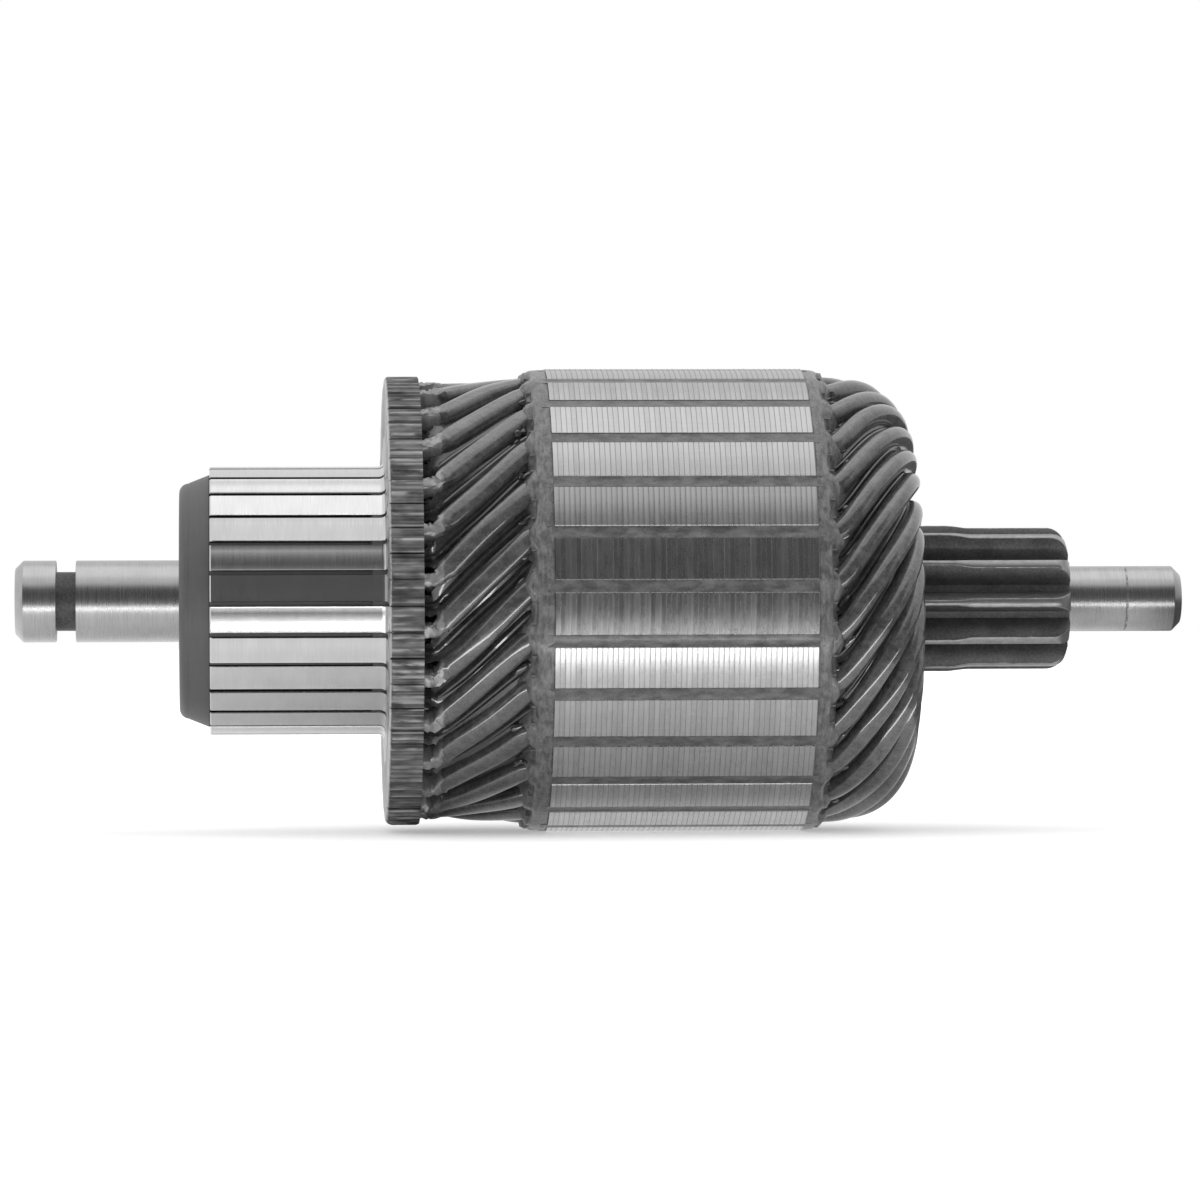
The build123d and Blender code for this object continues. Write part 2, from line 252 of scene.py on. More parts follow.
class Finish(Nodes):
    """A material on the principled shader, with the place on the piece in millimetres."""

    def __init__(self, name):
        self.material = bpy.data.materials.new(name)
        self.material.use_nodes = True
        super().__init__(self.material.node_tree)
        self.place = self.add("ShaderNodeTexCoord", {}, {}, "Object")
        to_mm = {0: self.place, "Scale": 1 / MM}
        self.scaled = self.add("ShaderNodeVectorMath", {"operation": "SCALE"}, to_mm)
        self.x = self.add("ShaderNodeSeparateXYZ", {}, {0: self.scaled}, "X")
        self.y = self.add("ShaderNodeSeparateXYZ", {}, {0: self.scaled}, "Y")
        self.z = self.add("ShaderNodeSeparateXYZ", {}, {0: self.scaled}, "Z")
        self.radius = (self.y * self.y + self.z * self.z) ** 0.5

    def grain(self, stretch, detail=2.0):
        """Noise from 0 to 1. The stretch gives its cells per millimetre along each axis."""
        along = self.add("ShaderNodeVectorMath", {"operation": "MULTIPLY"}, {0: self.scaled, 1: stretch})
        return self.add("ShaderNodeTexNoise", {}, {"Vector": along, "Scale": 1.0, "Detail": detail}, "Fac")

    def mixed(self, first, second, share):
        """One colour where share is 0 and the other where it is 1."""
        return self.add("ShaderNodeMix", {"data_type": "RGBA"}, {0: share, 6: first, 7: second}, 2)

    def bump(self, height, distance, strength=1.0):
        inputs = {"Height": height, "Distance": distance * MM, "Strength": strength}
        return self.add("ShaderNodeBump", {}, inputs)

    def shade(self, inputs):
        self.surface(self.add("ShaderNodeBsdfPrincipled", {}, inputs))
        return self.material


# %% [markdown]
# ## Finish of the ground and turned steel
# The journals were ground, which leaves fine lines around the shaft, so the noise is drawn out around it and
# packed tight along it. The pinion is dark on the flanks and roots of its teeth and light on their lands. The
# clip groove is dark too.

# %% Sizes that the finish shares with the mesh
groove_start, groove_end = 5.0, 7.4
pinion_end = pinion_start + 24.8
full_tip, tip_step = 9.05, 0.3
step_start, step_length = pinion_start + 10.2, 2.8
lead_in, lead_drop = 2.2, 2.4
scribe_start, scribe_end = shaft_end - 7.0, shaft_end - 6.75
print("pinion", round(pinion_start, 2), "to", round(pinion_end, 2), "mm")

# %% Shaft steel
def shaft_steel():
    steel = Finish("shaft_steel")
    lines = steel.grain((9.0, 0.25, 0.25), 3.0)
    blotches = steel.grain((0.35, 0.5, 0.5), 2.0)
    groove = steel.x.between(groove_start, groove_end, 0.05)
    teeth = steel.x.rise(pinion_start - 0.2, pinion_start)
    teeth = teeth * (1 - steel.x.rise(pinion_end - 0.1, pinion_end + 0.1))
    worn = steel.grain((1.2, 2.0, 2.0))
    fine = steel.grain((3.5, 3.5, 3.5), 3.0)
    into = ((steel.x - (pinion_end - lead_in)) * (1 / lead_in)).math("MAXIMUM", 0).math("MINIMUM", 0.99)
    drop = (1 - (1 - into * into) ** 0.5) * lead_drop
    tip = full_tip - steel.x.rise(step_start, step_start + step_length) * tip_step - drop
    land = (steel.radius - tip + worn * 0.12).rise(-0.05, 0.03) * (0.35 + worn * 0.6)
    scribed = steel.x.between(scribe_start + 0.02, scribe_end + 0.03, 0.03)
    scribed = scribed * (worn * 0.7).rise(0.2, 0.5) * 0.7
    dark = groove + scribed + teeth * (1 - land) * 0.93
    scratch = lines * 0.6 + blotches * 0.4
    bright = steel.grey(0.36, 0.66, scratch)
    black = steel.grey(0.04, 0.135, (blotches * 0.4 + fine * 0.6).rise(0.25, 0.75))
    return steel.shade(
        {
            "Base Color": steel.mixed(bright, black, dark),
            "Metallic": 1 - dark * 0.6,
            "Roughness": lines * 0.16 + 0.2 + dark * (0.12 + fine * 0.16),
            "Normal": steel.bump(lines + blotches * 0.3, 0.02, 0.35),
        }
    )


shaft_finish = shaft_steel()
print("finish", shaft_finish.name, len(shaft_finish.node_tree.nodes), "nodes")

# %% [markdown]
# ## The shaft and its pinion
# The shaft is a turned form, so its outline is swung around the axis, with each corner eased to catch the
# light. The pinion is one piece with it. Its teeth are involutes: a section is drawn once for a given tip
# radius and repeated along the shaft, and near the free end the tip radius falls away in a quarter circle,
# which gives the teeth their rounded lead-in.

# %% Shaft outline
journal_radius = 5.0
seat_radius = 6.75
root_radius = 5.75
spigot_radius = 4.0
chamfer = 1.0
groove_depth = 1.4
scribe_depth = 0.03
near_axis = 0.001
shoulder = hub_start + 0.01
shaft_outline = [
    (0, near_axis),
    (0, journal_radius - chamfer),
    (chamfer, journal_radius),
    (groove_start, journal_radius),
    (groove_start, journal_radius - groove_depth),
    (groove_end, journal_radius - groove_depth),
    (groove_end, journal_radius),
    (shoulder, journal_radius),
    (shoulder, seat_radius),
    (pinion_start, seat_radius),
    (pinion_start, root_radius),
    (pinion_end, root_radius),
    (pinion_end, spigot_radius),
    (scribe_start, spigot_radius),
    (scribe_start + 0.05, spigot_radius - scribe_depth),
    (scribe_end - 0.05, spigot_radius - scribe_depth),
    (scribe_end, spigot_radius),
    (shaft_end - chamfer, spigot_radius),
    (shaft_end, spigot_radius - chamfer),
    (shaft_end, near_axis),
]
corner_ease = 0.12
shaft_skin = Skin()
shaft_skin.run(turned(eased(shaft_outline, corner_ease)))
print("shaft outline", len(shaft_outline), "corners")

# %% Pinion teeth
tooth_count = 11
tooth_phase = 19.5
tooth_thickness = 2.25
pitch_radius = 7.4
pressure = math.radians(20)
base_radius = pitch_radius * math.cos(pressure)
tip_ease = 0.07
back_round = 0.5


def flank_angle(radius):
    """Half the angle that a tooth spans at this radius, in degrees."""
    if radius <= base_radius:
        flare = 2.5 * (base_radius - radius) / (base_radius - root_radius)
        return flank_angle(base_radius + 0.001) + flare
    opening = math.acos(base_radius / radius)
    half = tooth_thickness / (2 * pitch_radius)
    return math.degrees(half + math.tan(pressure) - pressure - math.tan(opening) + opening)


def tooth_ring(x, tip_radius):
    """The section of the pinion at one station."""
    ring = []
    flank = [root_radius + (tip_radius - root_radius) * step / 9 for step in range(9)]
    flank.append(tip_radius - tip_ease)
    land = flank_angle(tip_radius) - 0.4
    for tooth in range(tooth_count):
        middle = tooth_phase + tooth * 360 / tooth_count
        ring += [around(x, radius, middle - flank_angle(radius)) for radius in flank]
        ring += [around(x, tip_radius, middle + share * land) for share in (-1, 0, 1)]
        ring += [around(x, radius, middle + flank_angle(radius)) for radius in reversed(flank)]
    return ring


def tip_at(x):
    """The tip radius along the pinion, with its step and its rounded ends."""
    step = min(1.0, max(0.0, (x - step_start) / step_length))
    tip = full_tip - tip_step * step * step * (3 - 2 * step)
    run_in = min(1.0, (x - pinion_start) / back_round)
    left = max(0.0, pinion_end - x)
    if left < lead_in:
        tip -= lead_drop * (1 - math.sqrt(1 - (1 - left / lead_in) ** 2))
    return tip - 0.35 * (1 - math.sqrt(1 - (1 - run_in) ** 2))


last_station = pinion_end - 0.03
first_lead = pinion_end - lead_in
tooth_stations = [pinion_start + back_round * share for share in (0, 0.1, 0.3, 0.6, 1)]
tooth_stations += [step_start + 0.4 * step for step in range(8)]
for step in range(13):
    share = math.sin(math.radians(90 * step / 12))
    tooth_stations.append(first_lead + (last_station - first_lead) * share)
shaft_skin.run([tooth_ring(x, tip_at(x)) for x in tooth_stations])
shaft_piece = shaft_skin.piece("shaft_with_pinion", shaft_finish, "ground_steel", ("armature_shaft",))
print("shaft", len(shaft_piece.data.polygons), "faces")

# %% [markdown]
# ## The steel core
# The core is a stack of thin sheets, so its outline is drawn once for one sheet and repeated. Each sheet gets
# three stations: two at full size and one a few hundredths of a millimetre lower, which is the dark line
# between it and the next. Real grooves keep their look in every light, where painted lines would not.

# %% Sheet steel
sheet_count = 50
sheet_pitch = (stack_end - stack_start) / sheet_count
print("sheet pitch", round(sheet_pitch, 3), "mm")


def sheet_steel():
    steel = Finish("sheet_steel")
    sheet = ((steel.x - stack_start) * (1 / sheet_pitch)).math("FLOOR")
    own = steel.add("ShaderNodeTexWhiteNoise", {"noise_dimensions": "1D"}, {"W": sheet}, "Value")
    seam = ((steel.x - stack_start) * (1 / sheet_pitch)).math("FRACT").rise(0.78, 0.96)
    streaks = steel.grain((1.6, 0.5, 0.5), 4.0)
    drag = steel.grain((0.12, 3.0, 3.0), 3.0)
    inside = 1 - steel.radius.rise(core_radius - 0.35, core_radius - 0.1)
    level = own * 0.3 + streaks * 0.45 + drag * 0.25
    bright = steel.grey(0.42, 0.66, level)
    lined = steel.mixed(bright, (0.2, 0.2, 0.2, 1), seam * 0.55)
    return steel.shade(
        {
            "Base Color": steel.mixed(lined, (0.05, 0.05, 0.05, 1), inside),
            "Metallic": 1 - inside * 0.6,
            "Roughness": own * 0.06 + streaks * 0.12 + 0.19 + seam * 0.15,
            "Normal": steel.bump(own * 0.3 + drag * 0.3, 0.02, 0.35),
        }
    )


# %% One sheet's outline, and the whole stack
lip_depth = 0.6
slot_top = core_radius - 0.95
slot_floor = 20.6
mouth_half = 0.7
tooth_half = 2.15 / 2
corner_break = 0.12


def slot_half(radius):
    """Half the width of a slot at this radius. The teeth between slots have parallel sides."""
    return radius * math.sin(math.radians(pitch / 2)) - tooth_half


def offset_point(x, middle, out, side):
    """A point given by its distance out along a middle line and sideways from it."""
    turn = math.radians(middle)
    across = out * math.cos(turn) - side * math.sin(turn), out * math.sin(turn) + side * math.cos(turn)
    return Vector((x, across[0], across[1])) * MM


def sheet_ring(x, radius):
    """The outline of one sheet: for each tooth its land, then the slot that follows it."""
    ring = []
    land = pitch / 2 - math.degrees(mouth_half / core_radius)
    flat = land - math.degrees(corner_break / core_radius)
    wall = [(core_radius - lip_depth, mouth_half)]
    wall += [(out, slot_half(out)) for out in (slot_top, slot_floor)]
    for tooth in range(slot_count):
        middle = slot_phase + (tooth + 0.5) * pitch
        ring.append(around(x, radius - corner_break, middle - land))
        ring += [around(x, radius, middle + share * flat) for share in (-1, -0.5, 0, 0.5, 1)]
        ring.append(around(x, radius - corner_break, middle + land))
        slot = middle + pitch / 2
        ring += [offset_point(x, slot, out, -side) for out, side in wall]
        ring += [offset_point(x, slot, out, side) for out, side in reversed(wall)]
    return ring


random.seed(3)
spread = 0.018
groove = 0.035
stack_rings = []
for sheet in range(sheet_count):
    start = stack_start + sheet * sheet_pitch
    size = core_radius - random.uniform(0, spread)
    stack_rings += [sheet_ring(start, size), sheet_ring(start + 0.8 * sheet_pitch, size)]
    stack_rings.append(sheet_ring(start + 0.9 * sheet_pitch, size - groove))
stack_rings.append(sheet_ring(stack_end, core_radius))
stack_skin = Skin()
stack_skin.run(stack_rings)
sheet_finish = sheet_steel()
stack_piece = stack_skin.piece("sheet_stack", sheet_finish, "sheet_steel", ("lamination_stack",))
print("stack", len(stack_piece.data.polygons), "faces in", sheet_count, "sheets")

# %% [markdown]
# ## The coated end discs
# At each end of the stack lies a disc with an insulating coat, which has run over its rim in a soft, uneven
# skin. The disc is a turned form with many steps around. A sum of sines moves the points near its rim by up
# to a few tenths of a millimetre, so that the skin is uneven in the mesh and not only in the light on it.

# %% Coated discs
def coat_finish():
    coat = Finish("disc_coat")
    mottle = coat.grain((0.9, 0.9, 0.9), 4.0)
    fine = coat.grain((5.0, 2.5, 2.5), 3.0)
    runs = coat.grain((2.6, 0.7, 0.7), 3.0)
    level = mottle * 0.4 + fine * 0.25 + runs * 0.35
    return coat.shade(
        {
            "Base Color": coat.grey(0.07, 0.25, level.rise(0.32, 0.7)),
            "Roughness": mottle * 0.3 + 0.28,
            "Coat Weight": 0.5,
            "Coat Roughness": 0.14,
            "Normal": coat.bump(mottle * 0.5 + runs * 0.6 + fine * 0.2, 0.2, 0.8),
        }
    )


def unevenness(x, angle, seed):
    """A slow wander between -1 and 1, the same at each run."""
    turn = math.radians(angle)
    waves = ((5, 1.3), (11, 2.1), (23, 3.7), (41, 5.2))
    return sum(math.sin(count * turn + seed * count + speed * x) for count, speed in waves) / len(waves)


fine_steps = 540
disc_inset = 0.12
rim_round = 0.9
bore = seat_radius + 0.05


def disc_profile(start, end, outward):
    """Stations and radii of a disc, rounded at the end that faces outward along the shaft."""
    rim = core_radius - disc_inset
    profile = [(start, bore), (start, rim - 1.0)]
    for step in range(6):
        turn = math.radians(18 * step)
        profile.append((start + rim_round * (1 - math.cos(turn)), rim - rim_round * (1 - math.sin(turn))))
    profile += [(start + share * (end - start), rim) for share in (0.55, 0.7, 0.85, 0.97)]
    profile += [(end, rim - 0.08), (end, bore)]
    if outward > 0:
        profile = [(start + end - x, radius) for x, radius in reversed(profile)]
    return profile


def coated_disc(start, end, outward, seed):
    """Rings of a disc. Its coat swells and spreads over each slot, and only near the rim."""
    inner = start if outward > 0 else end
    rings = []
    for x, radius in disc_profile(start, end, outward):
        ring = []
        outer = 1 if radius > core_radius - disc_inset - 1.5 else 0
        away = min(1.0, abs(x - inner) / abs(end - start))
        for step in range(fine_steps):
            angle = step * 360 / fine_steps
            over_slot = 0.5 + 0.5 * math.cos(math.radians((angle - slot_phase) * slot_count))
            swell = outer * (0.07 * unevenness(x, angle, seed) - 0.06 * (1 - over_slot))
            run = 0.45 * over_slot**2 + 0.12 * unevenness(radius, angle, seed + 3) - 0.25
            ahead = outer * outward * run * away
            ring.append(around(x + ahead, radius + min(swell, 0.1), angle))
        rings.append(ring)
    return rings


disc_skin = Skin()
disc_skin.run(coated_disc(core_start, stack_start, -1, 1.0), capped=False)
disc_skin.run(coated_disc(stack_end, core_end, 1, 2.0), capped=False)
coat = coat_finish()
disc_piece = disc_skin.piece("coated_discs", coat, "coated_disc", ("end_discs",), sharp=60)
print("discs", len(disc_piece.data.polygons), "faces")

# %% [markdown]
# ## Slot liners and set resin
# The slots are lined with folded sheet, of which only the ends show, so the liners keep their solids and get
# a better finish. Resin was poured to close the slot mouths. It shrank a little as it set, so each strip is a
# shallow trough with an uneven surface. Its ends stop just inside the coated discs, which hide them.

# %% Liners and resin strips
def resin_finish():
    resin = Finish("set_resin")
    cloud = resin.grain((0.5, 1.2, 1.2), 4.0)
    pits = resin.grain((3.5, 5.0, 5.0), 2.0)
    level = cloud * 0.7 + pits * 0.3
    return resin.shade(
        {
            "Base Color": resin.grey(0.075, 0.19, level.rise(0.32, 0.7)),
            "Roughness": cloud * 0.25 + 0.22,
            "Coat Weight": 0.4,
            "Coat Roughness": 0.12,
            "Normal": resin.bump(cloud * 0.7 + pits * 0.3, 0.12, 0.7),
        }
    )


def liner_finish():
    paper = Finish("liner_sheet")
    fibres = paper.grain((0.8, 4.0, 4.0), 4.0)
    return paper.shade(
        {
            "Base Color": paper.grey(0.10, 0.22, fibres),
            "Roughness": fibres * 0.2 + 0.5,
            "Normal": paper.bump(fibres, 0.03, 0.5),
        }
    )


strip_start, strip_end = stack_start - 0.9, stack_end + 0.7
strip_level = core_radius - 0.1


def resin_strip(slot):
    """Sections of the strip of resin in one slot, from its underside to its troughed face."""
    rings = []
    steps = 56
    for step in range(steps + 1):
        x = strip_start + (strip_end - strip_start) * step / steps
        sag = 0.07 + 0.05 * unevenness(x * 0.8, slot * 7.3, 4.0)
        ring = [offset_point(x, slot, slot_top + 0.1, side) for side in (0.66, -0.66)]
        for share in (-1, -0.75, -0.35, 0, 0.35, 0.75, 1):
            out = strip_level - sag * (1 - share * share)
            ring.append(offset_point(x, slot, out, share * mouth_half * 1.02))
        rings.append(ring)
    return rings


strip_skin = Skin()
for number in range(slot_count):
    strip_skin.run(resin_strip(slot_phase + number * pitch))
strip_piece = strip_skin.piece("resin_strips", resin_finish(), "set_resin", ("slot_wedges",), sharp=70)
liner_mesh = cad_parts["slot_liners"].data
liner_mesh.materials.clear()
liner_mesh.materials.append(liner_finish())
print("resin", len(strip_piece.data.polygons), "faces")

# %% [markdown]
# ## The moulded hub
# The bars are held in a black moulding. Its collar shows at the end, and between the bars its ribs show
# below the track, where the gaps were undercut with a saw so that the brushes can't ride on them.

# %% Moulding
def moulding_finish():
    black = Finish("moulding")
    speckle = black.grain((7.0, 7.0, 7.0), 2.0)
    turned_lines = black.grain((6.0, 0.3, 0.3), 2.0)
    cloud = black.grain((0.3, 0.3, 0.3), 3.0)
    return black.shade(
        {
            "Base Color": black.grey(0.075, 0.155, speckle * 0.4 + cloud * 0.3 + turned_lines * 0.3),
            "Roughness": speckle * 0.15 + cloud * 0.1 + 0.34,
            "Normal": black.bump(speckle * 0.5 + turned_lines * 0.5, 0.03, 0.6),
        }
    )


# %% The turned body of the hub
hub_bore = seat_radius - 1.2
hub_round = 1.2
recess = 0.25
collar_edge = 14.4
collar_radius = 15.4
under_bars = 12.4
flange_radius = 16.9
hub_outline = [
    (hub_start + recess, hub_bore),
    (hub_start + recess, 7.9),
    (hub_start, 8.2),
]
for step in range(7):
    turn = math.radians(15 * step)
    out = collar_edge - hub_round * (1 - math.sin(turn))
    hub_outline.append((hub_start + hub_round * (1 - math.cos(turn)), out))
hub_outline += [
    (hub_start + hub_round, collar_edge + 0.05),
    (track_start - 0.1, collar_radius),
    (track_start, collar_radius - 0.05),
    (track_start, under_bars),
    (riser_end, under_bars),
    (riser_end, flange_radius),
    (hub_end, flange_radius),
    (hub_end, hub_bore),
]
hub_skin = Skin()
hub_skin.run(turned(hub_outline), capped=False)
print("hub outline", len(hub_outline), "corners")

# %% The ribs between the bars
gap_half = 0.27
undercut, filled = 15.85, 16.2
rib_tops = [(track_start, undercut), (riser_start - 2.0, undercut)]
rib_tops += [(riser_start - 1.7, filled), (riser_end, filled)]
for number in range(slot_count):
    gap = bar_phase + (number + 0.5) * pitch
    rib = []
    for x, top in rib_tops:
        corners = ((12.0, 1), (12.0, -1), (top, -1), (top - 0.08, 0), (top, 1))
        rib.append([offset_point(x, gap, out, side * gap_half) for out, side in corners])
    hub_skin.run(rib)
hub_piece = hub_skin.piece("moulded_hub", moulding_finish(), "moulding", ("commutator_hub",))
print("hub", len(hub_piece.data.polygons), "faces")

# %% [markdown]
# ## The commutator bars
# A bar was drawn as a copper section, set in the moulding and then turned together with its neighbours, so
# its top is part of a cylinder while its sides are flat and parallel to the gap. It is made as one run across
# the bar, from side to side, with the last stations a little lower for a broken edge. The riser's two cheeks
# are runs along the shaft. They were pressed together over the wire ends, which left a slit and many fine
# ridges on their outside.

# %% Copper of the bars
def bar_copper():
    copper = Finish("bar_copper")
    tool_marks = copper.grain((11.0, 0.35, 0.35), 3.0)
    broad = copper.grain((0.5, 0.25, 0.25), 2.0)
    pressed = copper.grain((0.35, 1.3, 1.3), 2.0)
    cloud = copper.grain((0.5, 0.6, 0.6), 2.0)
    riser = copper.radius.rise(track_radius + 0.25, track_radius + 0.75)
    face = riser * (1 - copper.x.rise(riser_start + 0.08, riser_start + 0.3))
    side = 1 - copper.radius.rise(track_radius - 0.22, track_radius - 0.1)
    bright = copper.grey(0.60, 0.90, tool_marks * 0.6 + broad * 0.4)
    own = copper.grain((0.05, 0.42, 0.42), 1.0)
    stained = copper.grey(0.055, 0.24, (pressed * 0.45 + cloud * 0.2 + own * 0.35).rise(0.32, 0.68))
    lip = copper.radius.rise(riser_radius - 0.24, riser_radius - 0.1) * pressed.rise(0.35, 0.6)
    rubbed = copper.mixed(stained, (0.5, 0.5, 0.5, 1), lip * 0.75)
    outside = copper.mixed(bright, copper.mixed(rubbed, (0.7, 0.7, 0.7, 1), face * 0.85), riser)
    return copper.shade(
        {
            "Base Color": copper.mixed(outside, (0.09, 0.09, 0.09, 1), side * (1 - riser)),
            "Metallic": 1 - riser * (1 - face) * 0.7,
            "Roughness": tool_marks * 0.12 + 0.13 + riser * 0.22,
            "Normal": copper.bump(tool_marks * (1 - riser) + riser * pressed * 2, 0.02, 0.4),
        }
    )


# %% One bar, turned to its place
half_pitch = math.radians(pitch / 2)


def side_at(out):
    """Half the width of a bar at this distance out, with parallel gaps between bars."""
    return out * math.tan(half_pitch) - gap_half / math.cos(half_pitch)


window_floor, window_top, window_half = 20.1, 26.9, 0.9
slit_half = 0.06
foot = 12.2
foot_bevel = 1.6
turned_top = [
    (track_start, track_radius - 0.15),
    (track_start + 0.15, track_radius),
    (riser_start - 0.8, track_radius),
    (riser_start - 0.5, track_radius + 0.07),
    (riser_start - 0.2, track_radius + 0.3),
    (riser_start, track_radius + 0.8),
]
flat_rest = [
    (riser_start, window_floor),
    (riser_end, window_floor),
    (riser_end, foot + foot_bevel),
    (riser_end - foot_bevel, foot),
    (track_start + foot_bevel, foot),
    (track_start, foot + foot_bevel),
]


def track_ring(share, drop, middle):
    """The bar's side outline at one share of its width."""
    ring = []
    for x, radius in turned_top:
        side = share * side_at(radius)
        ring.append(offset_point(x, middle, math.sqrt(radius**2 - side**2) - drop, side))
    return ring + [offset_point(x, middle, out, share * side_at(out)) for x, out in flat_rest]


def ridge(side, seed):
    """Height of the pressed ridges across the outside of a riser."""
    waves = ((0.08, 4.1, 1.0), (0.09, 7.7, 2.3), (0.03, 14.3, 3.1))
    low = 0.17 + 0.07 * (1 + math.sin(2.9 * seed))
    return sum(size * math.sin(pace * side + shift * seed) for size, pace, shift in waves) - low


riser_round = 0.9
riser_break = 0.3
cheek_edge = 0.12


def cheek_ring(x, hand, middle, seed):
    """The section of one cheek of the riser, on the side that hand gives."""
    reach = min(x - riser_start, riser_round)
    limit = riser_radius - riser_round + math.sqrt(riser_round**2 - (riser_round - reach) ** 2)
    limit -= max(0.0, x - riser_end + riser_break) * 0.5
    ceiling = min(window_top, limit - cheek_edge)
    corners = [(window_floor, window_half), (ceiling, window_half), (ceiling, slit_half)]
    steps = 30
    outer_side = side_at(riser_radius) + 0.14
    for step in range(steps + 1):
        side = slit_half + (outer_side - slit_half) * step / steps
        out = math.sqrt(riser_radius**2 - side**2) + ridge(side * hand, seed)
        lip = cheek_edge if step in (0, steps) else 0
        corners.append((out - lip, side))
    corners.append((window_floor, side_at(window_floor)))
    points = [offset_point(x, middle, min(out, limit), side * hand) for out, side in corners]
    return points if hand > 0 else points[::-1]


print("bar", round(2 * side_at(track_radius), 2), "mm wide at the track")


# %% All the bars
copper = bar_copper()
half_steps = [(1, 0.10), (0.965, -0.02), (0.9, 0), (0.5, 0)]
edge_steps = half_steps + [(0, 0)] + [(-share, drop) for share, drop in reversed(half_steps)]
cheek_stations = [riser_start + riser_round * (1 - math.cos(math.radians(15 * step))) for step in range(7)]
cheek_stations += [riser_end - 1.4, riser_end - riser_break, riser_end]
for number in range(slot_count):
    middle = bar_phase + number * pitch
    bar_skin = Skin()
    bar_skin.run([track_ring(share, drop, middle) for share, drop in edge_steps])
    for hand in (1, -1):
        bar_skin.run([cheek_ring(x, hand, middle, 1.7 * number) for x in cheek_stations])
    node = f"commutator_bar_{number + 1:02d}"
    bar_piece = bar_skin.piece(f"bar_{number + 1:02d}", copper, "bar_copper", (node,), sharp=28)
print("bars", slot_count, "of", len(bar_piece.data.polygons), "faces")

# %% [markdown]
# ## The winding
# Each coil is one turn: a thick wire bent to a hairpin, pushed through two slots from the rear, twisted and
# pressed into two risers. In the slots it was squeezed to a rounded oblong. Its route is worked out in
# stations, which give its place, which way its outer side faces, and its section. The rounded rear end is
# a superellipse from the slot to the nose, and both layers turn evenly along it.

# %% Enamelled wire
def wire_finish(name, dark, light, bare_end=None):
    """Varnish over enamel. Where a station is given, the wire is bare copper up to it."""
    wire = Finish(name)
    cloud = wire.grain((0.35, 0.5, 0.5), 3.0)
    drawn = wire.grain((1.3, 1.6, 1.6), 4.0)
    dust = wire.grain((5.5, 5.5, 5.5), 2.0)
    specks = wire.grain((3.2, 3.2, 3.2), 2.0).rise(0.68, 0.78)
    enamel = wire.grey(dark, light, (cloud * 0.3 + drawn * 0.35 + dust * 0.35).rise(0.3, 0.7))
    look = {
        "Base Color": wire.mixed(enamel, (0.3, 0.3, 0.3, 1), specks * 0.3),
        "Roughness": drawn * 0.16 + 0.26,
        "Coat Weight": 0.9,
        "Coat Roughness": 0.07,
        "Coat IOR": 2.0,
        "Normal": wire.bump(cloud * 0.5 + drawn * 0.35 + dust * 0.15, 0.12, 0.4),
    }
    if bare_end is not None:
        bare = 1 - (wire.x + drawn * 1.2).rise(bare_end, bare_end + 0.4)
        metal = wire.grey(0.22, 0.6, dust * 0.5 + drawn * 0.5)
        look["Base Color"] = wire.mixed(look["Base Color"], metal, bare)
        look["Metallic"] = bare * 0.6
        look["Roughness"] += bare * 0.1
        look["Coat Weight"] = (1 - bare) * 0.9
    return wire.shade(look)


# %% The route of a coil
top_height, bottom_height = 2.75, 3.4
top_width, bottom_width, neck_width = 2.65, 2.05, 1.6
layer_gap = 0.4
between_layers = top_height / 2 + layer_gap + bottom_height / 2
top_layer = slot_top - 0.05 - top_height / 2
bottom_layer = top_layer - between_layers
riser_drop = 0.68
wire_end = riser_start + 0.4
neck_end = riser_end + 1.5
dome_start = core_end + 0.7
nose_radius = 16.2
nose_x = winding_end - top_height / 2 - 0.1
inner_nose_x = nose_x - between_layers
top_lead = 2 * pitch + bar_phase - slot_phase
bottom_angle = -7 * pitch
bottom_lead = top_lead - 13 * pitch
nose_angle = 0.57 * bottom_angle
print("layers", round(top_layer, 2), "and", round(bottom_layer, 2), "mm, nose", round(nose_x, 2), "mm")

# %% The sections of the wire: width, height and how square its outline is
neck_form = (neck_width, top_height, 4.5)
pressed_form = (top_width, top_height, 2.7)
rounded_form = (2.45, 2.9, 2.2)
nose_form = (2.6, 2.75, 2.05)
low_form = (bottom_width, bottom_height, 3.2)
low_nose_form = (1.9, 3.2, 2.7)
low_neck_form = (neck_width, bottom_height, 4.5)


def spaced(knots, spacing):
    """Stations about this many millimetres apart, from the first knot up to the last."""
    stations = []
    for near, far in zip(knots, knots[1:]):
        steps = max(1, round(math.dist(near[:2], far[:2]) / spacing))
        for step in range(steps):
            stations.append(tuple(a + (b - a) * step / steps for a, b in zip(near, far)))
    return stations


def dome(end_x, radius, angle, first_form, last_form, flip):
    """Stations over the rounded rear end, from the slot to the nose at end_x."""
    power = 2.6
    steps = 26
    length = end_x - dome_start
    line = []
    for step in range(steps + 1):
        swing = math.radians(90 * step / steps)
        out = math.sin(swing) ** (2 / power)
        down = max(math.cos(swing), 0) ** (2 / power)
        tip = out ** (power - 1) / length
        rise = down ** (power - 1) / (radius - nose_radius)
        lean = math.degrees(math.atan2(tip, rise))
        line.append((dome_start + length * out, nose_radius + (radius - nose_radius) * down, lean))
    covered = [0]
    for near, far in zip(line, line[1:]):
        covered.append(covered[-1] + math.dist(near[:2], far[:2]))
    stations = []
    for (x, place, lean), so_far in zip(line, covered):
        share = so_far / covered[-1]
        form = tuple(a + (b - a) * share * share for a, b in zip(first_form, last_form))
        stations.append((x, place, angle + (nose_angle - angle) * share, lean + flip) + form)
    return stations


